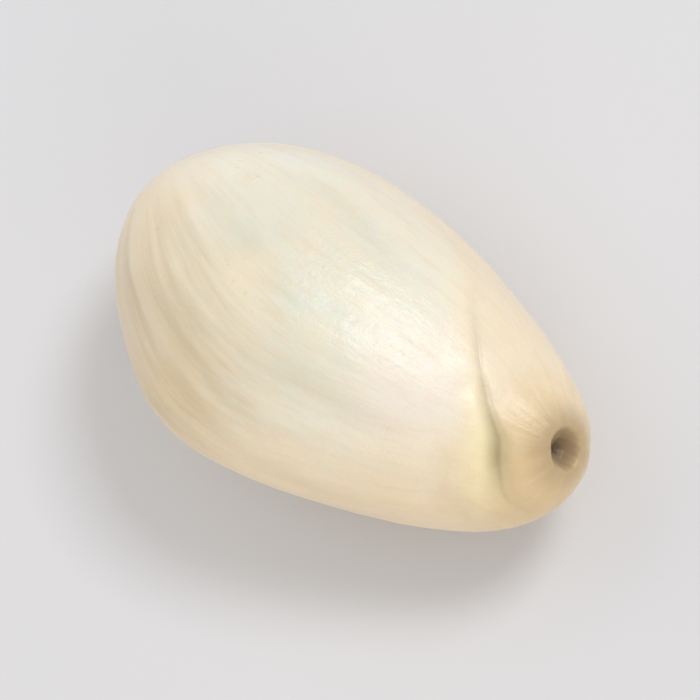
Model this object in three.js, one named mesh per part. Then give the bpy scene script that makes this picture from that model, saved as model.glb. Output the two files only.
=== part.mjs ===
// A shelled pine nut kernel: the ivory seed without its shell.
// It lies on its flatter side, with its narrow end along +X and that end's pore turned upwards.
// Millimetres, +Z up. The origin is on the surface it lies on, under the middle of its box.

import * as THREE from 'three';

// Overall size of the kernel as it lies
const LENGTH = 9.0;
const WIDTH = 5.5;
const HEIGHT = 4.9;

// Outline: a half turn from the blunt end to the narrow end, swollen towards the blunt end,
// a little fuller at both ends, and with a round nose at the narrow end
const TAPER = 0.25;
const FULLNESS = 0.04;
const NOSE = 0.26;
const NOSE_POWER = 8;

// Centre line: level under the body, rising and swaying to the narrow end, and swaying the other
// way to the blunt end
const RISE = 1.0;
const SWAY = 0.45;
const BEND_START = 0.42;
const BEND_POWER = 5;
const HEEL_SWAY = -0.6;
const HEEL_START = 0.45;
const HEEL_POWER = 3;

// Soft lengthwise faces: the direction each one faces in degrees from +Y, and its distance
// from the centre line as a share of the half width or half height
const FACES = [
  { facing: 18, distance: 0.985 },
  { facing: 70, distance: 0.95 },
  { facing: 128, distance: 0.975 },
  { facing: 184, distance: 0.985 },
  { facing: 230, distance: 0.97 },
  { facing: 276, distance: 0.92 },
  { facing: 324, distance: 0.975 },
];
const FACE_SHARPNESS = 11;
const FACE_STRENGTH = 0.5;

// Slow swells of the skin: height, turns round the section, turns along the length, start
const SWELLS = [
  { height: 0.03, around: 2, along: 0.9, start: 0.6 },
  { height: 0.018, around: 3, along: 1.4, start: 2.1 },
  { height: 0.01, around: 6, along: 0.5, start: 4.0 },
  { height: 0.007, around: 11, along: 0.4, start: 1.2 },
];
const SWELL_POWER = 1.5;

// Crease behind the pore: it slants across the upper side, from near the pore to far behind it,
// and fades out round the sides. The cap in front of it lies a little lower, and a low shoulder
// stands behind it. The cap's edge draws back from the narrow end where the cosine of the angle
// from its facing is above CAP_TURN.
const CAP_NEAR = 0.4;
const CAP_FAR = 3.0;
const CAP_FACING = -20;
const CAP_TURN = -0.525;
const CAP_WAVES = [
  { share: 0.05, around: 3, start: 1.0 },
  { share: 0.03, around: 7, start: 2.2 },
];
const CAP_DROP = 0.03;
const CAP_EDGE = 0.2;
const CREASE_FACING = 110;
const CREASE_FADE = 5;
const CREASE_DEPTH = 0.08;
const CREASE_WIDTH = 0.2;
const SHOULDER_HEIGHT = 0.05;
const SHOULDER_WIDTH = 0.42;

// Pore at the narrow end: a blind pit with a sloping wall and a low lip
const PORE_RADIUS = 0.27;
const PORE_WALL = 0.22;
const PORE_DEPTH = 0.3;
const LIP_RADIUS = 0.5;
const LIP_WIDTH = 0.14;
const LIP_HEIGHT = 0.02;

// Resting spot: the underside is pressed flat under the weight
const REST_PITCH = 4.0;
const FLAT_DEPTH = 0.17;
const FLAT_BLEND = 0.05;

// Grid: sides round the kernel, and rings over the body, the crease, the cap and the pore
const SIDES = 56;
const BODY_RINGS = 22;
const CREASE_RINGS = 10;
const CAP_RINGS = 7;
const PORE_RINGS = 8;
const CREASE_MARGIN = 0.55;
const PORE_MARGIN = 0.62;

const DEGREES = Math.PI / 180;
const MEAN_RADIUS = (WIDTH + HEIGHT) / 4;

// 0 below 0, 1 above 1, and an even S between
function smooth(x) {
  const s = Math.min(Math.max(x, 0), 1);
  return s * s * (3 - 2 * s);
}

function bump(x, width) {
  return Math.exp(-((x / width) ** 2));
}

// Half turn at which the outline is a given distance from the narrow end
function turnAt(fromTip) {
  return Math.acos((2 * fromTip) / LENGTH - 1);
}

// The outline's radius at a half turn, as a share of the mean radius, and how fast it grows
function outlineAt(turn) {
  const cosine = Math.cos(turn);
  const sine = Math.sin(turn);
  const share = (1 - cosine) / 2;
  const nose = NOSE * share ** NOSE_POWER;
  const noseSlope = NOSE * NOSE_POWER * share ** (NOSE_POWER - 1);
  const swelling = 1 + TAPER * cosine + FULLNESS * cosine ** 2 + nose;
  const swellingSlope = sine * (noseSlope / 2 - TAPER - 2 * FULLNESS * cosine);
  return { radius: sine * swelling, slope: cosine * swelling + sine * swellingSlope };
}

// Millimetres of skin that a radian of half turn covers
function pace(turn) {
  return Math.hypot((LENGTH / 2) * Math.sin(turn), MEAN_RADIUS * outlineAt(turn).slope);
}

// Half turn of the cap's edge at an angle round the section: near the pore on one side, far from
// it on the other, and a little wavy
function capEdge(angle) {
  const cosine = Math.cos(angle - CAP_FACING * DEGREES);
  let reach = CAP_NEAR + (CAP_FAR - CAP_NEAR) * smooth((cosine - CAP_TURN) / (1 - CAP_TURN));
  for (const wave of CAP_WAVES) {
    reach *= 1 + wave.share * Math.sin(wave.around * angle + wave.start);
  }
  return turnAt(reach);
}

// Radius of a round-cornered polygon at an angle, 1 on average: each face is a straight line,
// and a high power mean of the lines rounds the ridges between them
function sectionRadius(angle, strength) {
  let sum = 0;
  for (const face of FACES) {
    const across = Math.cos(angle - face.facing * DEGREES) / face.distance;
    sum += Math.max(across, 0) ** FACE_SHARPNESS;
  }
  const polygon = sum ** (-1 / FACE_SHARPNESS);
  return 1 + strength * (polygon - 1);
}

// Height of the skin's relief: swells all over, and at the narrow end the crease and the pore
function relief(turn, angle, share, radius) {
  let height = 0;
  for (const swell of SWELLS) {
    const wave = swell.around * angle + 2 * Math.PI * swell.along * share + swell.start;
    height += swell.height * Math.sin(wave) * Math.sin(turn) ** SWELL_POWER;
  }
  if (turn < Math.PI / 2) {
    return height;
  }
  const edge = capEdge(angle);
  const behindEdge = (edge - turn) * pace(edge);
  const crease = (0.5 + 0.5 * Math.cos(angle - CREASE_FACING * DEGREES)) ** CREASE_FADE;
  height -= CAP_DROP * crease * smooth(0.5 - behindEdge / CAP_EDGE);
  height -= CREASE_DEPTH * crease * bump(behindEdge - 0.5 * CAP_EDGE, CREASE_WIDTH);
  height += SHOULDER_HEIGHT * crease * bump(behindEdge - SHOULDER_WIDTH, SHOULDER_WIDTH);
  height += LIP_HEIGHT * bump(radius - LIP_RADIUS, LIP_WIDTH);
  height -= PORE_DEPTH * smooth((PORE_RADIUS + PORE_WALL / 2 - radius) / PORE_WALL);
  return height;
}

// One point of the skin: a half turn gives the place along the outline, and the section's angle
// the place round it; the relief stands out at right angles to the outline
function skinPoint(turn, angle) {
  const sine = Math.sin(turn);
  const share = (1 - Math.cos(turn)) / 2;
  const outline = outlineAt(turn);
  const run = new THREE.Vector2((LENGTH / 2) * sine, MEAN_RADIUS * outline.slope).normalize();
  const height = relief(turn, angle, share, MEAN_RADIUS * outline.radius);

  const bend = Math.max(0, (share - BEND_START) / (1 - BEND_START));
  const bendSlope = (BEND_POWER * bend ** (BEND_POWER - 1)) / (1 - BEND_START);
  const heel = Math.max(0, 1 - share / HEEL_START);
  const heelSlope = (-HEEL_POWER * heel ** (HEEL_POWER - 1)) / HEEL_START;
  const centre = new THREE.Vector3(LENGTH * (share - 0.5), 0, 0);
  centre.y = SWAY * bend ** BEND_POWER + HEEL_SWAY * heel ** HEEL_POWER;
  centre.z = RISE * bend ** BEND_POWER;
  const forward = new THREE.Vector3(LENGTH, 0, RISE * bendSlope);
  forward.y = SWAY * bendSlope + HEEL_SWAY * heelSlope;
  forward.normalize();
  const side = new THREE.Vector3(-forward.y, forward.x, 0).normalize();
  const up = new THREE.Vector3().crossVectors(forward, side);

  const section = outline.radius * sectionRadius(angle, FACE_STRENGTH * sine);
  return centre
    .addScaledVector(forward, -run.y * height)
    .addScaledVector(side, Math.cos(angle) * ((WIDTH / 2) * section + run.x * height))
    .addScaledVector(up, Math.sin(angle) * ((HEIGHT / 2) * section + run.x * height));
}

// Rings of the grid, each a half turn for every angle: they lean with the cap's edge, and lie
// close together at the crease and over the pore
function ringTurns() {
  const bluntEnd = () => 0;
  const creaseStart = (angle) => capEdge(angle) - CREASE_MARGIN / pace(capEdge(angle));
  const creaseEnd = (angle) => capEdge(angle) + CREASE_MARGIN / 2 / pace(capEdge(angle));
  const poreStart = () => Math.PI - PORE_MARGIN / pace(Math.PI);
  const narrowEnd = () => Math.PI;
  const stretches = [
    [bluntEnd, creaseStart, BODY_RINGS],
    [creaseStart, creaseEnd, CREASE_RINGS],
    [creaseEnd, poreStart, CAP_RINGS],
    [poreStart, narrowEnd, PORE_RINGS],
  ];
  const rings = [];
  for (const [from, to, count] of stretches) {
    for (let i = 1; i <= count; i += 1) {
      rings.push((angle) => from(angle) + ((to(angle) - from(angle)) * i) / count);
    }
  }
  return rings.slice(0, -1);
}

// The closed skin: rings of points between a point at each end
function kernelSkin() {
  const rings = ringTurns();
  const points = [skinPoint(0, 0)];
  for (const ring of rings) {
    for (let i = 0; i < SIDES; i += 1) {
      const angle = (2 * Math.PI * i) / SIDES;
      points.push(skinPoint(ring(angle), angle));
    }
  }
  points.push(skinPoint(Math.PI, 0));

  const triangles = [];
  const lastPoint = points.length - 1;
  const lastRing = 1 + (rings.length - 1) * SIDES;
  for (let i = 0; i < SIDES; i += 1) {
    const next = (i + 1) % SIDES;
    triangles.push(0, 1 + next, 1 + i);
    triangles.push(lastPoint, lastRing + i, lastRing + next);
    for (let here = 1; here < lastRing; here += SIDES) {
      const there = here + SIDES;
      triangles.push(here + i, here + next, there + next);
      triangles.push(here + i, there + next, there + i);
    }
  }
  return { points, triangles };
}

// Press the underside flat where it lies on the surface, with a soft edge round the spot
function pressFlat(points) {
  const floor = Math.min(...points.map((point) => point.z)) + FLAT_DEPTH;
  for (const point of points) {
    const clearance = point.z - floor;
    if (clearance < -FLAT_BLEND) {
      point.z = 0;
    } else if (clearance < FLAT_BLEND) {
      point.z = (clearance + FLAT_BLEND) ** 2 / (4 * FLAT_BLEND);
    } else {
      point.z = clearance;
    }
  }
}

// Bring the kernel to its stated size, with the origin under the middle of its box
function fitToSize(points) {
  const box = new THREE.Box3().setFromPoints(points);
  const scale = new THREE.Vector3(LENGTH, WIDTH, HEIGHT).divide(box.getSize(new THREE.Vector3()));
  const base = box.getCenter(new THREE.Vector3()).setZ(box.min.z);
  for (const point of points) {
    point.sub(base).multiply(scale);
  }
}

function kernelMesh() {
  const { points, triangles } = kernelSkin();
  const pitch = new THREE.Matrix4().makeRotationY(REST_PITCH * DEGREES);
  points.forEach((point) => point.applyMatrix4(pitch));
  pressFlat(points);
  fitToSize(points);

  const geometry = new THREE.BufferGeometry().setFromPoints(points);
  geometry.setIndex(triangles);
  geometry.computeVertexNormals();
  const ivory = new THREE.MeshStandardMaterial({
    color: 0xe9dfc4,
    roughness: 0.42,
    metalness: 0,
  });
  const mesh = new THREE.Mesh(geometry, ivory);
  mesh.name = 'kernel';
  return mesh;
}

const pineNut = new THREE.Group();
pineNut.add(kernelMesh());

export default pineNut;
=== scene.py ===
"""A shelled pine nut kernel, lying on a pale floor and seen from above.

The kernel's skin is one surface of two parameters: a half turn along the outline, from the blunt
end to the narrow end, and an angle round the section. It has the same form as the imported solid,
with fine relief added, and stands for it. The skin and its finish are worked out in mm.
"""

import math
from typing import NamedTuple

import bpy
import numpy as np
from bpy.props import FloatProperty, FloatVectorProperty, IntProperty, PointerProperty
from mathutils import Matrix, Vector


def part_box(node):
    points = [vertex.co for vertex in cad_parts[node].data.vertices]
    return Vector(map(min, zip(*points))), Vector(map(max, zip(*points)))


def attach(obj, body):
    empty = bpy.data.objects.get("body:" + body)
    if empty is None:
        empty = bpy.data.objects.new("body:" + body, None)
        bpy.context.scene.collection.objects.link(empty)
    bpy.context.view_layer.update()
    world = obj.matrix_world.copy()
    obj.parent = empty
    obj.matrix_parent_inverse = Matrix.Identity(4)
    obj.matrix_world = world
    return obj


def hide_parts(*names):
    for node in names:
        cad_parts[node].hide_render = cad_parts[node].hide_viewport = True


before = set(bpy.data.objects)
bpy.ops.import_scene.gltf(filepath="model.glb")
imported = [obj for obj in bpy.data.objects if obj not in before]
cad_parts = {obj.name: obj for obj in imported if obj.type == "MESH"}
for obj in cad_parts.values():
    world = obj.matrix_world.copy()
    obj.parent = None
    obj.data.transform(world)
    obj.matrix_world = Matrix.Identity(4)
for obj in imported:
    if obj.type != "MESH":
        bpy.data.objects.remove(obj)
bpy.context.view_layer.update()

bl_info = {
    "name": "Pine nut kernel",
    "version": (1, 0, 0),
    "blender": (4, 5, 0),
    "location": "View3D > Sidebar > Pine nut",
    "description": "Makes a shelled pine nut kernel, its finish and a plain stage",
    "category": "Add Mesh",
}

MM = 0.001
LOW_CORNER, HIGH_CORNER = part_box("kernel")
LENGTH, WIDTH, HEIGHT = (HIGH_CORNER - LOW_CORNER) / MM
MEAN_RADIUS = (WIDTH + HEIGHT) / 4

# Soft lengthwise faces: degrees from +Y that each one faces, and its distance from the centre line
# as a share of the half width or half height
FACES = (
    (18, 0.985),
    (70, 0.95),
    (128, 0.975),
    (184, 0.985),
    (230, 0.97),
    (276, 0.92),
    (324, 0.975),
)
FACE_SHARPNESS = 11
FACE_STRENGTH = 0.5

# Slow swells of the skin: height, turns round the section, turns along the length, start
SWELLS = (
    (0.030, 2, 0.9, 0.6),
    (0.018, 3, 1.4, 2.1),
    (0.010, 6, 0.5, 4.0),
    (0.007, 11, 0.4, 1.2),
)
SWELL_POWER = 1.5

# Ends of the kernel: the round nose, and the centre line's bend to the narrow end and heel to the
# blunt end. Each has a power by which it grows, and the last two start at shares of the length.
NOSE_POWER = 8
BEND_START = 0.42
BEND_POWER = 5
HEEL_START = 0.45
HEEL_POWER = 3

# The cap's edge draws back from the narrow end where the cosine of the angle from its facing is
# above CAP_TURN, and steps down over CAP_EDGE. Its waves: share of its reach, turns round the
# section, start.
CAP_FACING = math.radians(-20)
CAP_TURN = -0.525
CAP_EDGE = 0.2
CAP_WAVES = (
    (0.05, 3, 1.0),
    (0.03, 7, 2.2),
)

# Crease behind the cap, the narrow cut at its bottom, and the shoulder behind it
CREASE_FACING = math.radians(110)
CREASE_FADE = 5
CREASE_MIDDLE = 0.5 * CAP_EDGE
CREASE_WIDTH = 0.2
CUT_DEPTH = 0.02
CUT_WIDTH = 0.05
SHOULDER_HEIGHT = 0.05
SHOULDER_WIDTH = 0.42

# Pore: its wall and lip, the waves of its mouth (share, turns, start), and its lumpy pit
PORE_WALL = 0.22
LIP_RADIUS = 0.50
LIP_WIDTH = 0.14
LIP_HEIGHT = 0.02
MOUTH_WAVE = 0.02
MOUTH_WAVES = (
    (1.0, 2, 0.7),
    (0.4, 5, 2.0),
)
PIT_DEPTH = 0.08
PIT_RADIUS = 0.12

# Noises of the relief: seed, changes in a mm, height. The ribs' and the pebbles' heights are shares
# of the grain's. The wrinkles' changes are multiples of those round the pore and over the length.
RIBS = (
    (3, 2.6, 1.0),
    (4, 6.0, 0.6),
)
PEBBLES = (
    (5, 1.7, 0.7),
    (6, 4.5, 0.3),
)
WRINKLES = (
    (7, 1.0, 0.014),
    (8, 2.3, 0.008),
)
LUMPS = ((9, 8.0, 0.04),)
WRINKLES_ROUND = 4.5
WRINKLES_ALONG = 9.0

# Distances over which relief sets in: the body's behind the cap's edge, and that of the pebbles and
# wrinkles outside the pore
BODY_BLEND = 0.5
PORE_BLEND = 0.3

# Dimples: seed, number, cosines of the half turns between which they lie, widths, and shares of the
# greatest depth
DIMPLE_SEED = 11
DIMPLE_COUNT = 90
DIMPLE_COSINES = (-0.75, 0.95)
DIMPLE_WIDTHS = (0.10, 0.34)
DIMPLE_DEPTHS = (0.25, 1.0)

# Furrows: angle in degrees, shares of the length where each starts and ends, wander in radians,
# width and depth. They wander in waves, and fade out over a share of the length at each end.
FURROWS = (
    (108, 0.34, 0.80, 0.05, 0.26, 0.016),
    (46, 0.20, 0.62, 0.10, 0.20, 0.012),
    (152, 0.40, 0.80, 0.08, 0.18, 0.014),
    (215, 0.15, 0.70, 0.12, 0.22, 0.016),
    (300, 0.30, 0.80, 0.10, 0.20, 0.014),
    (352, 0.18, 0.60, 0.09, 0.16, 0.012),
)
FURROW_WAVES = 9
FURROW_FADE = 0.2
DEEPEST_FURROW = max(depth for *_, depth in FURROWS)

# Resting slope, and how deep and how softly the underside is pressed flat
REST_PITCH = math.radians(4)
FLAT_DEPTH = 0.17
FLAT_BLEND = 0.05

# Grid: rings over the body, the crease, the cap and the pore, and how far the close rings of the
# crease and of the pore reach
BODY_RINGS = 130
CREASE_RINGS = 50
CAP_RINGS = 34
PORE_RINGS = 26
CREASE_MARGIN = 0.55
PORE_MARGIN = 0.62

# The fibres: how much shorter their coordinates are along the kernel than round it, how far aside
# they meet at the blunt end and where that starts, and how far from there they show in full
THREAD_SQUEEZE = 0.14
THREAD_SWAY = 1.8
THREAD_SWAY_START = 0.5
THREAD_SPREAD = 2.6

# Painted shade in the crease and in its cut, and a painted highlight on the fold behind it: their
# strengths and widths, on the points of the mesh
CREASE_PAINTED_SHADE = 0.85
CREASE_PAINTED_SHADE_WIDTH = 1.25 * CREASE_WIDTH
CUT_PAINTED_SHADE = 0.15
FOLD_HIGHLIGHT_WIDTH = 0.9 * SHOULDER_WIDTH


class Noise(NamedTuple):
    """Noise of the finish: changes in a mm, finer layers, and the strength of each next layer."""

    per_mm: float
    layers: int
    strength: float = 0.55


class Zone(NamedTuple):
    """Values between which a share grows from its least to its most."""

    start: float
    end: float
    most: float = 1.0
    least: float = 0.0


class SoftBox(NamedTuple):
    """A square light: watts, side in m, colour, and where it stands from the kernel, as shares of
    the picture's right, its up and the way back to the camera."""

    power: float
    side: float
    tint: tuple
    stand: tuple


# Patterns of the flesh: a noise, and the zone of its values that takes the colour
PATCHES = (Noise(0.45, 4), Zone(0.38, 0.68, 0.7))
STREAKS = (Noise(1.6, 4, 0.6), Zone(0.42, 0.70, 0.5))
BANDS = (Noise(2.8, 3), Zone(0.38, 0.66, 0.32))
HAIRLINES = (Noise(7.0, 3, 0.6), Zone(0.46, 0.74, 0.17))
FLECKS = (Noise(7.0, 2, 0.5), Zone(0.66, 0.74, 0.4))
FLECK_PATCHES = (Noise(0.9, 2), Zone(0.50, 0.62))
BLOTCHES = (Noise(1.7, 4), Zone(0.3, 0.7, 1.0, 0.5))

# Noises that fray the edges of the zones, and the mm between their least and greatest shift. The
# pore's edge takes a share of the fray.
FRAY = (Noise(2.2, 4), 0.9)
DRIFT = (Noise(0.6, 3), 1.6)
SPOKES = (Noise(2.0, 4), 0.18)
PORE_FRAY = 0.12

# Zones of colour round a middle on the upper side: the middle, and the distances from it
# The cool zone is partly the skin's own greenish tone and partly painted shade that darkens the top
# beside the key light's highlight
COOL_SHADE_MIDDLE = (-0.6, 0.4, 4.5)
COOL_SHADE_ZONE = Zone(2.8, 0.8, 0.9)
ROSE_MIDDLE = (1.7, 0.1, 4.2)
ROSE_ZONE = Zone(1.6, 0.3, 0.45)
TIP_MIDDLE = (4.2, -0.2, 2.8)
TIP_CREAM = Zone(4.2, 2.4, 0.55)
TIP_TAN = Zone(2.3, 0.5, 0.95)
HEEL_MIDDLE = (-2.6, -1.5, 4.2)
# Tan beside the blunt end: partly the skin's own, partly painted shade on that side
HEEL_TAN_AND_SHADE = Zone(2.5, 0.8, 0.38)
HEEL_BANDS = Zone(3.2, 1.2)

# Painted warm bounce light: peach on the sides where warm light thrown back from round the kernel
# would fall. Each side has a direction that points away from it, and the zone of places along it.
# They are low down on the right, low down on the left and towards the tip, and the blunt end and its
# right.
BOUNCE_LIGHT_SIDES = (
    ((0, 0.7, 1.0), Zone(4.3, 1.0, 0.9)),
    ((-0.35, -0.5, 1.0), Zone(3.2, 1.0, 0.55)),
    ((1.0, 0.5, 0), Zone(-1.6, -4.2, 0.5)),
)

# Distances from the pore's middle of its halo, a darker tan, of its wall and of its bottom
HALO_ZONE = Zone(0.95, 0.3, 0.7)
HALO_SHADE = 0.5
WALL_ZONE = Zone(0.38, 0.24)
BOTTOM_ZONE = Zone(0.24, 0.08)
# Share of olive painted as shade in the furrows
FURROW_PAINTED_SHADE = 0.15

# Roughness: how much less and more than the skin's own it is in patches, how much more it is on the
# tip, and the matt pore
GLOSS_NOISE = Noise(1.3, 4)
GLOSS_RANGE = (0.3, 0.7)
GLOSSIER = 0.07
DULLER = 0.10
DULL_TIP_RANGE = (2.1, 0.6)
TIP_DULLER = 0.12
MATT_PORE = Zone(0.4, 0.3, 0.9)

# Grain in the finish, finer than the mesh
FINE_RIBS = Noise(7.0, 3, 0.6)
FINE_PEBBLES = Noise(9.0, 3, 0.6)
FINE_HEIGHT = 0.011

# Light in the flesh: how it bends, and how far red, green and blue wander as shares of the glow's
# depth
REFRACTION = 1.46
WANDER = (1.0, 0.62, 0.34)
OIL_ROUGHNESS = 0.30

# Stage, in metres
FLOOR_REACH = 1.0
FLOOR_CLOUDS = (Noise(0.02, 3), Zone(0.3, 0.7))
FLOOR_PALER = 1.02
FLOOR_ROUGHNESS = 0.75
CAMERA_RANGE = (0.005, 5)
LIGHT_DISTANCE = 0.25
LIGHTS = {
    "key": SoftBox(0.22, 0.07, (1.0, 0.98, 0.96), (0.24, 0.50, 0.83)),
    "fill": SoftBox(0.225, 0.26, (1.0, 0.89, 0.76), (0.5, -1.0, 0.5)),
    "side": SoftBox(0.085, 0.26, (1.0, 0.90, 0.80), (-0.9, 0.6, 0.5)),
}
ROOM_COLOUR = (1.0, 0.98, 0.93)
ROOM_STRENGTH = 0.63


def smooth(x):
    """0 below 0, 1 above 1, and an even S between."""
    s = np.clip(x, 0, 1)
    return s * s * (3 - 2 * s)


def bump(x, width):
    """A bell: 1 at x = 0, falling away over the width on each side."""
    return np.exp(-((x / width) ** 2))


class SpaceNoise:
    """Smooth noise between -1 and 1: a random number at each whole-number point of space, and an
    even S between neighbours along each direction."""

    SIDE = 32

    def __init__(self, seed):
        rng = np.random.default_rng(seed)
        self.values = rng.uniform(-1, 1, (self.SIDE,) * 3)

    def at(self, points):
        cell = np.floor(points).astype(int)
        part = smooth(points - cell)
        total = 0
        for corner in np.ndindex(2, 2, 2):
            index = (cell + corner) % self.SIDE
            weight = np.where(corner, part, 1 - part).prod(axis=-1)
            total = total + weight * self.values[index[..., 0], index[..., 1], index[..., 2]]
        return total


def noise_sum(points, noises):
    """A sum of noises, each with its seed, its changes in a mm and its height."""
    total = 0
    for seed, per_mm, height in noises:
        total = total + height * SpaceNoise(seed).at(points * per_mm)
    return total


def millimetres(name, description, value):
    """A length property whose default is given in mm."""
    return FloatProperty(
        name=name, description=description, default=value * MM, unit="LENGTH", precision=6
    )


def share_of(name, description, value):
    """A property between 0 and 1."""
    return FloatProperty(
        name=name, description=description, default=value, min=0, max=1, subtype="FACTOR"
    )


def colour(name, description, value):
    """A colour property."""
    return FloatVectorProperty(name=name, description=description, default=value, subtype="COLOR")


class KernelShape(bpy.types.PropertyGroup):
    """The kernel's form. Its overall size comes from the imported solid."""

    taper: share_of("Taper", "How much the outline swells towards the blunt end", 0.25)
    fullness: share_of("Fullness", "How much both ends are filled out", 0.04)
    nose: share_of("Nose", "How round the narrow end is", 0.26)
    rise: millimetres("Rise", "How far the centre line climbs to the narrow end", 1.0)
    sway: millimetres("Sway", "How far the centre line moves aside to the narrow end", 0.45)
    heel_sway: millimetres("Heel sway", "How far it moves aside to the blunt end", -0.6)
    cap_near: millimetres("Cap near", "Least distance of the cap's edge from the narrow end", 0.40)
    cap_far: millimetres("Cap far", "Greatest distance of the cap's edge, on the other side", 3.0)
    cap_drop: millimetres("Cap drop", "Depth of the cap below the skin behind it", 0.03)
    crease_depth: millimetres("Crease depth", "Depth of the crease behind the cap", 0.08)
    pore_radius: millimetres("Pore radius", "Radius of the pore's mouth", 0.27)
    pore_depth: millimetres("Pore depth", "Depth of the pore", 0.30)
    grain_height: millimetres("Grain height", "Height of the skin's fine lengthwise ribs", 0.012)
    dimple_depth: millimetres("Dimple depth", "Depth of the deepest dimples", 0.018)
    sides: IntProperty(
        name="Sides", description="Points of the mesh round the kernel", default=400, min=48, max=400
    )


class KernelFinish(bpy.types.PropertyGroup):
    """The colours and gloss of the skin."""

    ivory: colour("Ivory", "The palest parts of the skin", (0.86, 0.86, 0.78))
    # Celadon is partly the skin's own greenish tone, partly painted shade on the top
    celadon_and_shade: colour("Celadon", "The cool zone on the upper side", (0.72, 0.75, 0.665))
    rose: colour("Rose", "The pinkish patch on the upper side", (0.86, 0.80, 0.79))
    cream: colour("Cream", "The warmer patches and streaks of the skin", (0.88, 0.775, 0.61))
    # Peach is painted warm bounce light on the flanks, the underside and the blunt end
    peach: colour("Peach", "The flanks, the underside and the blunt end", (0.91, 0.73, 0.49))
    tan: colour("Tan", "The cap and the rim of the pore", (0.71, 0.54, 0.31))
    # The fold's pale yellow is partly a painted highlight
    butter_highlight: colour("Butter", "The fold behind the crease", (0.98, 0.87, 0.59))
    # Olive is painted shade in the crease and the furrows, and the skin's own colour in the bands
    olive: colour("Olive", "The bottom of the crease and the furrows", (0.46, 0.38, 0.20))
    umber: colour("Umber", "The wall of the pore", (0.36, 0.26, 0.15))
    soot: colour("Soot", "The bottom of the pore", (0.14, 0.09, 0.05))
    roughness: share_of("Roughness", "Roughness of the waxy skin", 0.42)
    oil: share_of("Oil", "Strength of the oily sheen over the skin", 0.45)
    glow: share_of("Glow", "Share of the light that wanders in the flesh", 0.45)
    glow_depth: millimetres("Glow depth", "How deep light wanders in the flesh", 0.6)


class KernelStage(bpy.types.PropertyGroup):
    """The floor, the light and the camera."""

    floor: colour("Floor", "Colour of the floor", (0.72, 0.735, 0.79))
    elevation: FloatProperty(
        name="Camera elevation",
        description="Height of the camera above the horizon, on the narrow end's side",
        subtype="ANGLE",
        default=math.radians(71),
    )
    picture_angle: FloatProperty(
        name="Angle in the picture",
        description="How far the narrow end points below the picture's horizontal",
        subtype="ANGLE",
        default=math.radians(30.6),
    )
    picture_width: millimetres("Picture width", "Width of the picture at the kernel", 11.6)
    lens: FloatProperty(
        name="Lens", description="Focal length of the camera", default=260, unit="CAMERA"
    )


def length_share(turn):
    """Share of the length that lies between the blunt end and a half turn."""
    return (1 - np.cos(turn)) / 2


def turn_at(from_tip):
    """Half turn at which the outline is a given distance from the narrow end."""
    return np.arccos(2 * from_tip / LENGTH - 1)


def outline_radius(turn, shape):
    """The outline's radius as a share of the mean radius, and its slope by the half turn: the sine
    of the half turn times a swelling with a taper, two fuller ends and a nose."""
    cosine = np.cos(turn)
    sine = np.sin(turn)
    share = length_share(turn)
    nose = shape.nose * share**NOSE_POWER
    nose_slope = shape.nose * NOSE_POWER * share ** (NOSE_POWER - 1)
    swelling = 1 + shape.taper * cosine + shape.fullness * cosine**2 + nose
    swelling_slope = sine * (nose_slope / 2 - shape.taper - 2 * shape.fullness * cosine)
    return sine * swelling, cosine * swelling + sine * swelling_slope


def pace(turn, shape):
    """Length of skin that a radian of half turn covers."""
    return np.hypot(LENGTH / 2 * np.sin(turn), MEAN_RADIUS * outline_radius(turn, shape)[1])


def cap_edge(angle, shape):
    """Half turn of the cap's edge: its distance from the narrow end is an even S of a cosine round
    the section, so near the pore on one side and far from it on the other, times two waves."""
    back = smooth((np.cos(angle - CAP_FACING) - CAP_TURN) / (1 - CAP_TURN))
    reach = (shape.cap_near + (shape.cap_far - shape.cap_near) * back) / MM
    for share, around, start in CAP_WAVES:
        reach = reach * (1 + share * np.sin(around * angle + start))
    return turn_at(reach)


def behind_cap(turn, angle, shape):
    """Length of skin between the cap's edge and a place behind it, less than 0 on the cap."""
    edge = cap_edge(angle, shape)
    return (edge - turn) * pace(edge, shape)


def crease_strength(angle):
    """1 on the upper side and fading out round the sides: a power of a raised cosine."""
    return (0.5 + 0.5 * np.cos(angle - CREASE_FACING)) ** CREASE_FADE


def into_pore(radius, shape):
    """How far across the pore's sloping wall a place is: 0 at the top of it and 1 at the bottom."""
    return (shape.pore_radius / MM + PORE_WALL / 2 - radius) / PORE_WALL


def section_radius(angle, strength):
    """Radius of a round-cornered polygon, 1 on average: each face is a straight line, and a high
    power mean of the lines rounds the ridges between them."""
    total = 0
    for facing, distance in FACES:
        across = np.cos(angle - math.radians(facing)) / distance
        total = total + np.maximum(across, 0) ** FACE_SHARPNESS
    return 1 + strength * (total ** (-1 / FACE_SHARPNESS) - 1)


def main_relief(turn, angle, radius, shape):
    """Height of the main forms above the outline: a sum of slow waves all over and, on the half
    towards the narrow end, a step and two bells behind the cap's edge, a bell for the pore's lip
    and a step down into the pore."""
    height = 0
    for swell, around, along, start in SWELLS:
        wave = around * angle + 2 * np.pi * along * length_share(turn) + start
        height = height + swell * np.sin(wave) * np.sin(turn) ** SWELL_POWER
    behind = behind_cap(turn, angle, shape)
    crease = crease_strength(angle)
    end = -shape.cap_drop / MM * crease * smooth(0.5 - behind / CAP_EDGE)
    end = end - shape.crease_depth / MM * crease * bump(behind - CREASE_MIDDLE, CREASE_WIDTH)
    end = end + SHOULDER_HEIGHT * crease * bump(behind - SHOULDER_WIDTH, SHOULDER_WIDTH)
    end = end + LIP_HEIGHT * bump(radius - LIP_RADIUS, LIP_WIDTH)
    end = end - shape.pore_depth / MM * smooth(into_pore(radius, shape))
    return height + np.where(turn > np.pi / 2, end, 0)


def into_bend(share):
    """0 under the body, and growing evenly to 1 at the narrow end."""
    return np.maximum(0, (share - BEND_START) / (1 - BEND_START))


def into_heel(share, start):
    """1 at the blunt end, and falling evenly to 0 at a start."""
    return np.maximum(0, 1 - share / start)


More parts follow.
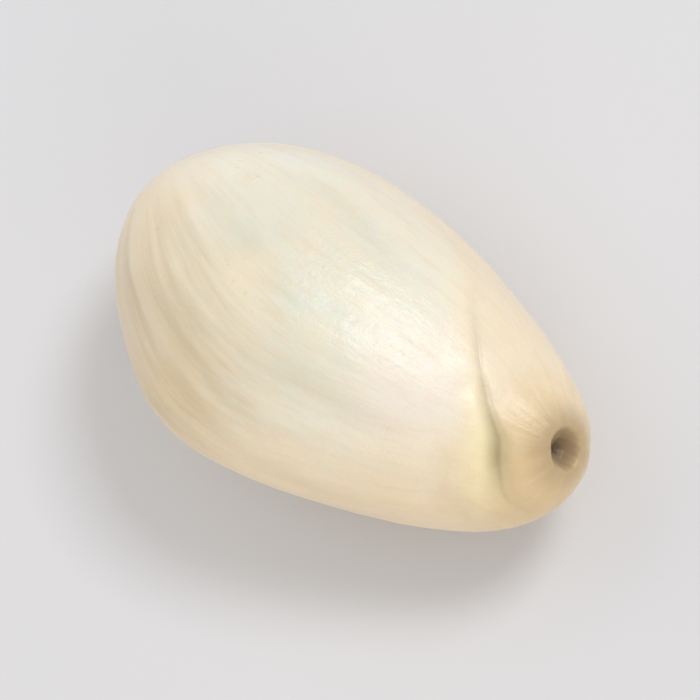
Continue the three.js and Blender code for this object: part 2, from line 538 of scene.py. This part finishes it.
def centre_line(share, shape):
    """Points of the centre line, and its direction. The line is level under the body. It climbs and
    moves aside as a power of the bend, and moves the other way as a power of the heel."""
    bend = into_bend(share)
    bend_slope = BEND_POWER * bend ** (BEND_POWER - 1) / (1 - BEND_START)
    heel = into_heel(share, HEEL_START)
    heel_slope = -HEEL_POWER * heel ** (HEEL_POWER - 1) / HEEL_START
    rise = shape.rise / MM
    sway = shape.sway / MM
    heel_sway = shape.heel_sway / MM
    aside = sway * bend**BEND_POWER + heel_sway * heel**HEEL_POWER
    aside_slope = sway * bend_slope + heel_sway * heel_slope
    points = np.stack([LENGTH * (share - 0.5), aside, rise * bend**BEND_POWER], -1)
    forward = np.stack([np.full_like(bend, LENGTH), aside_slope, rise * bend_slope], -1)
    return points, forward / np.linalg.norm(forward, axis=-1, keepdims=True)


def skin(turn, angle, shape, extra=0):
    """Points of the skin for a half turn and an angle, with extra relief on top.

    The section is the polygon above at the outline's radius, square to the centre line, and the
    relief stands at right angles to the outline."""
    turn, angle = np.broadcast_arrays(turn, angle)
    outline, slope = outline_radius(turn, shape)
    run = np.stack([LENGTH / 2 * np.sin(turn), MEAN_RADIUS * slope])
    run /= np.linalg.norm(run, axis=0)
    height = main_relief(turn, angle, MEAN_RADIUS * outline, shape) + extra

    centre, forward = centre_line(length_share(turn), shape)
    side = np.stack([-forward[..., 1], forward[..., 0], np.zeros_like(outline)], -1)
    side /= np.linalg.norm(side, axis=-1, keepdims=True)
    up = np.cross(forward, side)

    section = outline * section_radius(angle, FACE_STRENGTH * np.sin(turn))
    along = -run[1] * height
    across = np.cos(angle) * (WIDTH / 2 * section + run[0] * height)
    above = np.sin(angle) * (HEIGHT / 2 * section + run[0] * height)
    return centre + forward * along[..., None] + side * across[..., None] + up * above[..., None]


def fibres(turn, places, shape):
    """Coordinates for what runs along the kernel and meets at both ends: a place on a round
    cylinder, squeezed along its axis so that noise on it makes long threads. The place's angle is
    taken round a line that follows the kernel's and moves aside, as a square, to the blunt end.
    The second result is how far the fibres have spread, from 0 on that line to 1 well away."""
    share = length_share(turn)
    bend = into_bend(share) ** BEND_POWER
    heel = into_heel(share, THREAD_SWAY_START) ** 2
    across = places[..., 1] - shape.sway / MM * bend - THREAD_SWAY * heel
    above = places[..., 2] - shape.rise / MM * bend
    angle = np.arctan2(above, across)
    around = MEAN_RADIUS * np.cos(angle), MEAN_RADIUS * np.sin(angle)
    coordinates = np.stack([*around, THREAD_SQUEEZE * LENGTH * share], -1)
    return coordinates, smooth(np.hypot(across, above) / THREAD_SPREAD)


def grid_of_turns(angle, shape):
    """Half turns of the rings for every angle: they lean with the cap's edge, and lie close
    together at the crease and over the pore. The first and last rings are the two ends."""
    edge = cap_edge(angle, shape)
    blunt_end = np.zeros_like(angle)
    crease_start = edge - CREASE_MARGIN / pace(edge, shape)
    crease_end = edge + CREASE_MARGIN / 2 / pace(edge, shape)
    pore_start = np.full_like(angle, np.pi - PORE_MARGIN / pace(np.pi, shape))
    narrow_end = np.full_like(angle, np.pi)
    stretches = (
        (blunt_end, crease_start, BODY_RINGS),
        (crease_start, crease_end, CREASE_RINGS),
        (crease_end, pore_start, CAP_RINGS),
        (pore_start, narrow_end, PORE_RINGS),
    )
    rings = [blunt_end[None]]
    for start, end, count in stretches:
        steps = np.arange(1, count + 1)[:, None] / count
        rings.append(start + (end - start) * steps)
    return np.concatenate(rings)


class SkinGrid:
    """The grid of the skin, and what its fine relief and its colours read at each place of it."""

    def __init__(self, shape):
        around = np.arange(shape.sides) * 2 * np.pi / shape.sides
        self.shape = shape
        self.turn = grid_of_turns(around, shape)
        self.angle = np.broadcast_to(around, self.turn.shape)
        self.share = length_share(self.turn)
        self.radius = MEAN_RADIUS * outline_radius(self.turn, shape)[0]
        self.from_pore = np.where(self.turn > np.pi / 2, self.radius, LENGTH)
        self.off_pore = smooth((self.from_pore - shape.pore_radius / MM) / PORE_BLEND)
        self.behind = behind_cap(self.turn, self.angle, shape)
        self.body = smooth(self.behind / BODY_BLEND)
        self.crease = crease_strength(self.angle)
        self.places = skin(self.turn, self.angle, shape)
        self.threads, self.spread = fibres(self.turn, self.places, shape)


def grain(grid):
    """Height of the grain: ribs of noise along the fibres, which fade out at both ends, and even
    noise for a pebbled feel."""
    ribs = np.sin(grid.turn) ** 2 * grid.spread * noise_sum(grid.threads, RIBS)
    pebbles = grid.off_pore * noise_sum(grid.places, PEBBLES)
    return grid.shape.grain_height / MM * (ribs + pebbles)


def dimples(grid):
    """Depth of the dimples: bells of random width and depth round random places of the body."""
    rng = np.random.default_rng(DIMPLE_SEED)
    depth = 0
    for _ in range(DIMPLE_COUNT):
        turn = np.arccos(rng.uniform(*DIMPLE_COSINES))
        middle = skin(turn, rng.uniform(0, 2 * np.pi), grid.shape)
        width = rng.uniform(*DIMPLE_WIDTHS)
        share = rng.uniform(*DIMPLE_DEPTHS)
        depth = depth + share * bump(np.linalg.norm(grid.places - middle, axis=-1), width)
    return grid.shape.dimple_depth / MM * grid.body * depth


def furrows(grid):
    """Depth of the furrows: a bell across each wandering line, fading at its ends. The line's wave
    starts at its own angle, so that no two wander alike."""
    depth = 0
    for facing, start, end, wander, width, deepest in FURROWS:
        line = math.radians(facing) + wander * np.sin(FURROW_WAVES * grid.share + facing)
        turned = (grid.angle - line + np.pi) % (2 * np.pi) - np.pi
        started = smooth((grid.share - start) / FURROW_FADE)
        ending = smooth((end - grid.share) / FURROW_FADE)
        depth = depth + deepest * started * ending * bump(turned * grid.radius, width)
    return depth


def wrinkles(grid):
    """Height of the cap's wrinkles: noise on a circle round the pore that changes slowly towards
    it."""
    circle = WRINKLES_ROUND * np.cos(grid.angle), WRINKLES_ROUND * np.sin(grid.angle)
    places = np.stack([*circle, WRINKLES_ALONG * grid.share], -1)
    return (1 - grid.body) * grid.off_pore * noise_sum(places, WRINKLES)


def pore_relief(grid):
    """Height of the forms in the pore: its wall moved in and out by waves round its mouth, a bell
    that rounds its bottom, and lumps of noise."""
    inside = into_pore(grid.from_pore, grid.shape)
    waves = 0
    for share, around, start in MOUTH_WAVES:
        waves = waves + share * np.sin(around * grid.angle + start)
    wavy = inside + MOUTH_WAVE * waves / PORE_WALL
    mouth = grid.shape.pore_depth / MM * (smooth(inside) - smooth(wavy))
    pit = PIT_DEPTH * bump(grid.from_pore, PIT_RADIUS)
    return mouth - pit + smooth(inside) * noise_sum(grid.places, LUMPS)


def fine_relief(grid):
    """Height of what the skin has beyond its main forms."""
    cut = CUT_DEPTH * grid.crease * bump(grid.behind - CREASE_MIDDLE, CUT_WIDTH)
    raised = grain(grid) + wrinkles(grid) + pore_relief(grid)
    return raised - dimples(grid) - furrows(grid) - cut


def lay_down(points):
    """Pitches the kernel to its resting slope, presses its underside flat with a soft edge round
    the spot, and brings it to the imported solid's box, in metres."""
    c, s = math.cos(REST_PITCH), math.sin(REST_PITCH)
    pitch = np.array([[c, 0, -s], [0, 1, 0], [s, 0, c]])
    points = points @ pitch
    clearance = points[:, 2] - (points[:, 2].min() + FLAT_DEPTH)
    rounded = np.maximum(clearance + FLAT_BLEND, 0) ** 2 / (4 * FLAT_BLEND)
    points[:, 2] = np.where(clearance < FLAT_BLEND, rounded, clearance)
    low, high = points.min(axis=0), points.max(axis=0)
    stretch = (LENGTH, WIDTH, HEIGHT) / (high - low)
    return (points - low) * stretch * MM + np.array(LOW_CORNER)


def grid_faces(rings, sides):
    """Corner indices of a closed grid: triangles round both end points, four-cornered faces
    between, all facing outwards."""
    i = np.arange(sides)
    after = (i + 1) % sides
    last_point = 1 + rings * sides
    blunt = np.stack([np.zeros(sides, int), 1 + after, 1 + i], -1)
    last_ring = 1 + (rings - 1) * sides
    narrow = np.stack([np.full(sides, last_point), last_ring + i, last_ring + after], -1)
    here = 1 + np.arange(rings - 1)[:, None] * sides
    corners = (here + i, here + after, here + sides + after, here + sides + i)
    quads = np.stack(corners, -1).reshape(-1, 4)
    return blunt.tolist() + quads.tolist() + narrow.tolist()


def one_per_point(values):
    """Values of a grid in the order of its points: the first and last rings are one point each."""
    between = values[1:-1].reshape(-1, *values.shape[2:])
    return np.concatenate([values[:1, 0], between, values[-1:, 0]])


def store(mesh, name, values):
    """Stores one number, or one vector, for each point of the mesh."""
    kind, field = ("FLOAT", "value") if values.ndim == 1 else ("FLOAT_VECTOR", "vector")
    attribute = mesh.attributes.new(name, kind, "POINT")
    attribute.data.foreach_set(field, values.astype(np.float32).ravel())


def kernel_mesh(shape):
    """The kernel's mesh. Its points carry what the finish reads: the fibres' coordinates and
    spread, the distance from the pore's middle, and the strengths of the painted shade in the
    crease, of the painted highlight on the fold behind it and of the painted shade in the furrows."""
    grid = SkinGrid(shape)
    places = skin(grid.turn, grid.angle, shape, fine_relief(grid))
    mesh = bpy.data.meshes.new("kernel_skin")
    faces = grid_faces(len(grid.turn) - 2, shape.sides)
    mesh.from_pydata(lay_down(one_per_point(places)), [], faces)
    mesh.shade_smooth()

    from_crease = grid.behind - CREASE_MIDDLE
    painted_crease_shade = CREASE_PAINTED_SHADE * bump(from_crease, CREASE_PAINTED_SHADE_WIDTH)
    painted_crease_shade += CUT_PAINTED_SHADE * bump(from_crease, CUT_WIDTH)
    stored = {
        "fibres": grid.threads,
        "spread": grid.spread,
        "from_pore": grid.from_pore,
        "crease": grid.crease * painted_crease_shade,
        "fold": grid.crease * bump(grid.behind - SHOULDER_WIDTH, FOLD_HIGHLIGHT_WIDTH),
        "furrow": furrows(grid) / DEEPEST_FURROW,
    }
    for name, values in stored.items():
        store(mesh, name, one_per_point(values))
    return mesh


class Wiring:
    """Adds nodes to a material, and gives back the outputs that others read."""

    # Sockets of a Mix node that blends colours: its share, its two colours, and the mixed one
    MIX_SHARE = 0
    MIX_FIRST = 6
    MIX_SECOND = 7
    MIX_RESULT = 2

    def __init__(self, name):
        self.material = bpy.data.materials.new(name)
        self.material.use_nodes = True
        self.tree = self.material.node_tree
        self.tree.nodes.clear()

    def put(self, socket, value):
        """Feeds a socket from another node's output, or with a number, a vector or a colour."""
        if isinstance(value, bpy.types.NodeSocket):
            self.tree.links.new(value, socket)
        elif socket.type == "RGBA":
            socket.default_value = (*value, 1)
        else:
            socket.default_value = value

    def add(self, kind, sockets, **settings):
        """A node with its settings, and a value or an output for each socket, by name or place."""
        node = self.tree.nodes.new("ShaderNode" + kind)
        for name, value in settings.items():
            setattr(node, name, value)
        for socket, value in sockets.items():
            self.put(node.inputs[socket], value)
        return node

    def places(self):
        """Object coordinates in mm."""
        coordinates = self.add("TexCoord", {}).outputs["Object"]
        sockets = {"Vector": coordinates, "Scale": (1 / MM,) * 3}
        return self.add("Mapping", sockets).outputs["Vector"]

    def stored(self, name, output="Fac"):
        """A value stored on the mesh's points."""
        return self.add("Attribute", {}, attribute_name=name).outputs[output]

    def along(self, places, direction):
        """How far the places lie along a direction."""
        sockets = {0: places, 1: direction}
        return self.add("VectorMath", sockets, operation="DOT_PRODUCT").outputs["Value"]

    def away(self, places, point):
        """How far the places lie from a point."""
        sockets = {0: places, 1: point}
        return self.add("VectorMath", sockets, operation="DISTANCE").outputs["Value"]

    def maths(self, operation, first, *others):
        """One value after another, joined by an operation of the Math node."""
        for other in others:
            first = self.add("Math", {0: first, 1: other}, operation=operation).outputs[0]
        return first

    def noise(self, places, noise):
        """Noise between 0 and 1."""
        sockets = {
            "Vector": places,
            "Scale": noise.per_mm,
            "Detail": noise.layers,
            "Roughness": noise.strength,
        }
        return self.add("TexNoise", sockets).outputs["Fac"]

    def share(self, value, zone):
        """An even S from the zone's least to its most, as the value goes from its start to its
        end."""
        sockets = {
            "Value": value,
            "From Min": zone.start,
            "From Max": zone.end,
            "To Min": zone.least,
            "To Max": zone.most,
        }
        return self.add("MapRange", sockets, interpolation_type="SMOOTHSTEP").outputs["Result"]

    def pattern(self, places, pattern):
        """Share of a pattern, from its noise and the zone of the noise's values."""
        noise, zone = pattern
        return self.share(self.noise(places, noise), zone)

    def shift(self, places, pattern):
        """A pattern's noise as a shift to both sides, from its noise and its whole range."""
        noise, whole = pattern
        return self.maths("MULTIPLY", self.maths("SUBTRACT", self.noise(places, noise), 0.5), whole)

    def mix(self, share, first, second):
        """The first colour where the share is 0, and the second where it is 1."""
        sockets = {self.MIX_SHARE: share, self.MIX_FIRST: first, self.MIX_SECOND: second}
        return self.add("Mix", sockets, data_type="RGBA").outputs[self.MIX_RESULT]

    def surface(self, shader):
        """The finished material, with the shader as its surface."""
        self.add("OutputMaterial", {"Surface": shader.outputs[0]})
        return self.material


class SeedFlesh(Wiring):
    """The kernel's finish: waxy ivory flesh with warm streaks, a tan cap and a dark pore."""

    def __init__(self, finish):
        super().__init__("seed_flesh")
        self.finish = finish
        self.even = self.places()
        self.threads = self.stored("fibres", "Vector")
        self.spread = self.stored("spread")
        self.drift = self.shift(self.even, DRIFT)
        fray = self.shift(self.even, FRAY)
        self.tip = self.maths("ADD", self.away(self.even, TIP_MIDDLE), fray)
        self.heel = self.maths("ADD", self.away(self.even, HEEL_MIDDLE), self.drift)
        pore_fray = self.maths("MULTIPLY", fray, PORE_FRAY)
        spokes = self.shift(self.threads, SPOKES)
        self.from_pore = self.maths("ADD", self.stored("from_pore"), pore_fray, spokes)

    def body(self):
        """Ivory with a cool zone that is partly painted shade on top, cream patches and streaks,
        peach sides of painted warm bounce light, a pinkish patch, and tan beside the blunt end that
        is partly painted shade."""
        finish = self.finish
        # Celadon on the top: partly the skin's own tone, partly painted shade beside the key light's
        # highlight
        cool = self.share(self.away(self.even, COOL_SHADE_MIDDLE), COOL_SHADE_ZONE)
        pale = self.mix(cool, finish.ivory, finish.celadon_and_shade)
        patches = self.pattern(self.even, PATCHES)
        streaks = self.pattern(self.threads, STREAKS)
        creamy = self.maths("MAXIMUM", patches, streaks, self.share(self.tip, TIP_CREAM))
        flesh = self.mix(creamy, pale, finish.cream)

        # Peach painted as warm bounce light on the low flanks and the blunt end
        sides = [
            self.share(self.maths("ADD", self.along(self.even, direction), self.drift), zone)
            for direction, zone in BOUNCE_LIGHT_SIDES
        ]
        flesh = self.mix(self.maths("MAXIMUM", *sides), flesh, finish.peach)
        from_rose = self.maths("ADD", self.away(self.even, ROSE_MIDDLE), self.drift)
        flesh = self.mix(self.share(from_rose, ROSE_ZONE), flesh, finish.rose)
        # Tan beside the blunt end: partly the skin's own, partly painted shade
        return self.mix(self.share(self.heel, HEEL_TAN_AND_SHADE), flesh, finish.tan)

    def markings(self, flesh):
        """Olive bands beside the blunt end, tan hairlines along the fibres, and tan flecks."""
        finish = self.finish
        near_heel = self.share(self.heel, HEEL_BANDS)
        bands = self.maths("MULTIPLY", self.pattern(self.threads, BANDS), near_heel, self.spread)
        flesh = self.mix(bands, flesh, finish.olive)
        hairlines = self.maths("MULTIPLY", self.pattern(self.threads, HAIRLINES), self.spread)
        flesh = self.mix(hairlines, flesh, finish.tan)
        patches = self.pattern(self.even, FLECK_PATCHES)
        flecks = self.maths("MULTIPLY", self.pattern(self.even, FLECKS), patches)
        return self.mix(flecks, flesh, finish.tan)

    def cap(self, flesh):
        """A tan tip, a pale yellow painted highlight on the fold behind the crease, partly the
        skin's own yellow, and olive painted shade in the crease and furrows.
        """
        finish = self.finish
        flesh = self.mix(self.share(self.tip, TIP_TAN), flesh, finish.tan)
        blotches = self.pattern(self.even, BLOTCHES)
        # A pale yellow painted highlight on the raised fold behind the crease, partly the skin's own
        # yellow
        fold = self.maths("MULTIPLY", self.stored("fold"), blotches)
        flesh = self.mix(fold, flesh, finish.butter_highlight)
        # Olive painted shade in the crease
        crease = self.maths("MULTIPLY", self.stored("crease"), blotches)
        flesh = self.mix(crease, flesh, finish.olive)
        # Olive painted shade in the furrows, by their depth
        furrow = self.maths("MULTIPLY", self.stored("furrow"), FURROW_PAINTED_SHADE)
        return self.mix(furrow, flesh, finish.olive)

    def pore(self, flesh):
        """A halo round the pore, its brown wall and its dark bottom."""
        finish = self.finish
        dark_tan = [HALO_SHADE * c for c in finish.tan]
        flesh = self.mix(self.share(self.from_pore, HALO_ZONE), flesh, dark_tan)
        flesh = self.mix(self.share(self.from_pore, WALL_ZONE), flesh, finish.umber)
        return self.mix(self.share(self.from_pore, BOTTOM_ZONE), flesh, finish.soot)

    def roughness(self):
        """Waxy in glossier and duller patches, duller on the tip and matt in the pore."""
        middle = self.finish.roughness
        gloss = Zone(*GLOSS_RANGE, most=middle + DULLER, least=middle - GLOSSIER)
        dull_tip = Zone(*DULL_TIP_RANGE, most=middle + TIP_DULLER)
        patches = self.pattern(self.even, (GLOSS_NOISE, gloss))
        tip = self.share(self.tip, dull_tip)
        return self.maths("MAXIMUM", patches, tip, self.share(self.from_pore, MATT_PORE))

    def fine_grain(self):
        """Ribs along the fibres and a pebbled feel, as a bent normal."""
        ribs = self.maths("MULTIPLY", self.noise(self.threads, FINE_RIBS), self.spread)
        height = self.maths("ADD", ribs, self.noise(self.even, FINE_PEBBLES))
        sockets = {"Strength": 1.0, "Distance": FINE_HEIGHT * MM, "Height": height}
        return self.add("Bump", sockets).outputs["Normal"]

    def finished(self):
        """The material, coloured from the body out to the pore."""
        finish = self.finish
        normal = self.fine_grain()
        sockets = {
            "Base Color": self.pore(self.cap(self.markings(self.body()))),
            "Roughness": self.roughness(),
            "Normal": normal,
            "IOR": REFRACTION,
            "Subsurface Weight": finish.glow,
            "Subsurface Radius": WANDER,
            "Subsurface Scale": finish.glow_depth,
            "Coat Weight": finish.oil,
            "Coat Roughness": OIL_ROUGHNESS,
            "Coat Normal": normal,
        }
        return self.surface(self.add("BsdfPrincipled", sockets, subsurface_method="RANDOM_WALK"))


def plain_floor(stage):
    """The floor's finish: matt, with faint clouds of a slightly paler shade."""
    w = Wiring("plain_floor")
    paler = [min(1, FLOOR_PALER * c) for c in stage.floor]
    shade = w.mix(w.pattern(w.places(), FLOOR_CLOUDS), stage.floor, paler)
    return w.surface(w.add("BsdfPrincipled", {"Base Color": shade, "Roughness": FLOOR_ROUGHNESS}))


class PINENUT_OT_make_kernel(bpy.types.Operator):
    """Makes the kernel with its skin and finish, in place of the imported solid"""

    bl_idname = "pinenut.make_kernel"
    bl_label = "Make kernel"

    def execute(self, context):
        scene = context.scene
        kernel = bpy.data.objects.new("pine_nut_kernel", kernel_mesh(scene.kernel_shape))
        kernel.data.materials.append(SeedFlesh(scene.kernel_finish).finished())
        scene.collection.objects.link(kernel)
        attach(kernel, "root")
        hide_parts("kernel")
        return {"FINISHED"}


class PINENUT_OT_make_stage(bpy.types.Operator):
    """Makes the floor, the soft light and the camera that looks down on the kernel"""

    bl_idname = "pinenut.make_stage"
    bl_label = "Make stage"

    def execute(self, context):
        scene = context.scene
        stage = scene.kernel_stage
        floor = self.add_floor(scene, stage)

        target = (LOW_CORNER + HIGH_CORNER) / 2
        right, up, back = self.picture_axes(stage)
        self.add_camera(scene, stage, target, right, up, back)
        for name, box in LIGHTS.items():
            rightward, upward, backward = box.stand
            direction = (rightward * right + upward * up + backward * back).normalized()
            self.add_light(scene, name, box, target, direction)
        self.add_room(scene)
        scene.view_settings.view_transform = "Standard"
        return {"FINISHED"}

    @staticmethod
    def picture_axes(stage):
        """The picture's right, its up and the way back to the camera. The camera stands above the
        narrow end's side, and the picture is turned so that this end points right and down."""
        back = Vector((math.cos(stage.elevation), 0, math.sin(stage.elevation)))
        along = Vector((1, 0, 0))
        along = (along - along.dot(back) * back).normalized()
        right = Matrix.Rotation(stage.picture_angle, 3, back) @ along
        return right, back.cross(right), back

    @staticmethod
    def add_floor(scene, stage):
        """One square of floor, wide enough for every view."""
        reach = FLOOR_REACH
        corners = [(-reach, -reach, 0), (reach, -reach, 0), (reach, reach, 0), (-reach, reach, 0)]
        mesh = bpy.data.meshes.new("floor")
        mesh.from_pydata(corners, [], [(0, 1, 2, 3)])
        mesh.materials.append(plain_floor(stage))
        floor = bpy.data.objects.new("floor", mesh)
        scene.collection.objects.link(floor)
        return floor

    @staticmethod
    def add_camera(scene, stage, target, right, up, back):
        """A long lens, so that the kernel is seen almost without perspective."""
        lens = bpy.data.cameras.new("camera")
        lens.lens = stage.lens
        lens.clip_start, lens.clip_end = CAMERA_RANGE
        distance = stage.picture_width * stage.lens / lens.sensor_width
        camera = bpy.data.objects.new("camera", lens)
        place = Matrix((right, up, back)).transposed().to_4x4()
        place.translation = target + distance * back
        camera.matrix_world = place
        scene.collection.objects.link(camera)
        scene.camera = camera

    @staticmethod
    def add_light(scene, name, box, target, direction):
        """A square soft box, facing the kernel."""
        lamp = bpy.data.lights.new(name, "AREA")
        lamp.energy = box.power
        lamp.size = box.side
        lamp.color = box.tint
        light = bpy.data.objects.new(name, lamp)
        light.location = target + LIGHT_DISTANCE * direction
        light.rotation_mode = "QUATERNION"
        light.rotation_quaternion = direction.to_track_quat("Z", "Y")
        scene.collection.objects.link(light)

    @staticmethod
    def add_room(scene):
        """Even light from all round, as in a pale room."""
        world = bpy.data.worlds.new("soft_room")
        world.use_nodes = True
        background = world.node_tree.nodes["Background"]
        background.inputs["Color"].default_value = (*ROOM_COLOUR, 1)
        background.inputs["Strength"].default_value = ROOM_STRENGTH
        scene.world = world


class PINENUT_PT_panel(bpy.types.Panel):
    """Lists the steps that make the kernel and its stage"""

    bl_idname = "PINENUT_PT_panel"
    bl_label = "Pine nut kernel"
    bl_space_type = "VIEW_3D"
    bl_region_type = "UI"
    bl_category = "Pine nut"

    def draw(self, context):
        scene = context.scene
        layout = self.layout
        for settings in (scene.kernel_shape, scene.kernel_finish, scene.kernel_stage):
            column = layout.box().column()
            for name in settings.__annotations__:
                column.prop(settings, name)
        layout.operator(PINENUT_OT_make_kernel.bl_idname)
        layout.operator(PINENUT_OT_make_stage.bl_idname)


CLASSES = (
    KernelShape,
    KernelFinish,
    KernelStage,
    PINENUT_OT_make_kernel,
    PINENUT_OT_make_stage,
    PINENUT_PT_panel,
)


def register():
    for item in CLASSES:
        bpy.utils.register_class(item)
    bpy.types.Scene.kernel_shape = PointerProperty(type=KernelShape)
    bpy.types.Scene.kernel_finish = PointerProperty(type=KernelFinish)
    bpy.types.Scene.kernel_stage = PointerProperty(type=KernelStage)


def unregister():
    del bpy.types.Scene.kernel_stage
    del bpy.types.Scene.kernel_finish
    del bpy.types.Scene.kernel_shape
    for item in reversed(CLASSES):
        bpy.utils.unregister_class(item)


def main():
    """Makes everything."""
    register()
    bpy.ops.pinenut.make_kernel()
    bpy.ops.pinenut.make_stage()


if __name__ == "__main__":
    main()
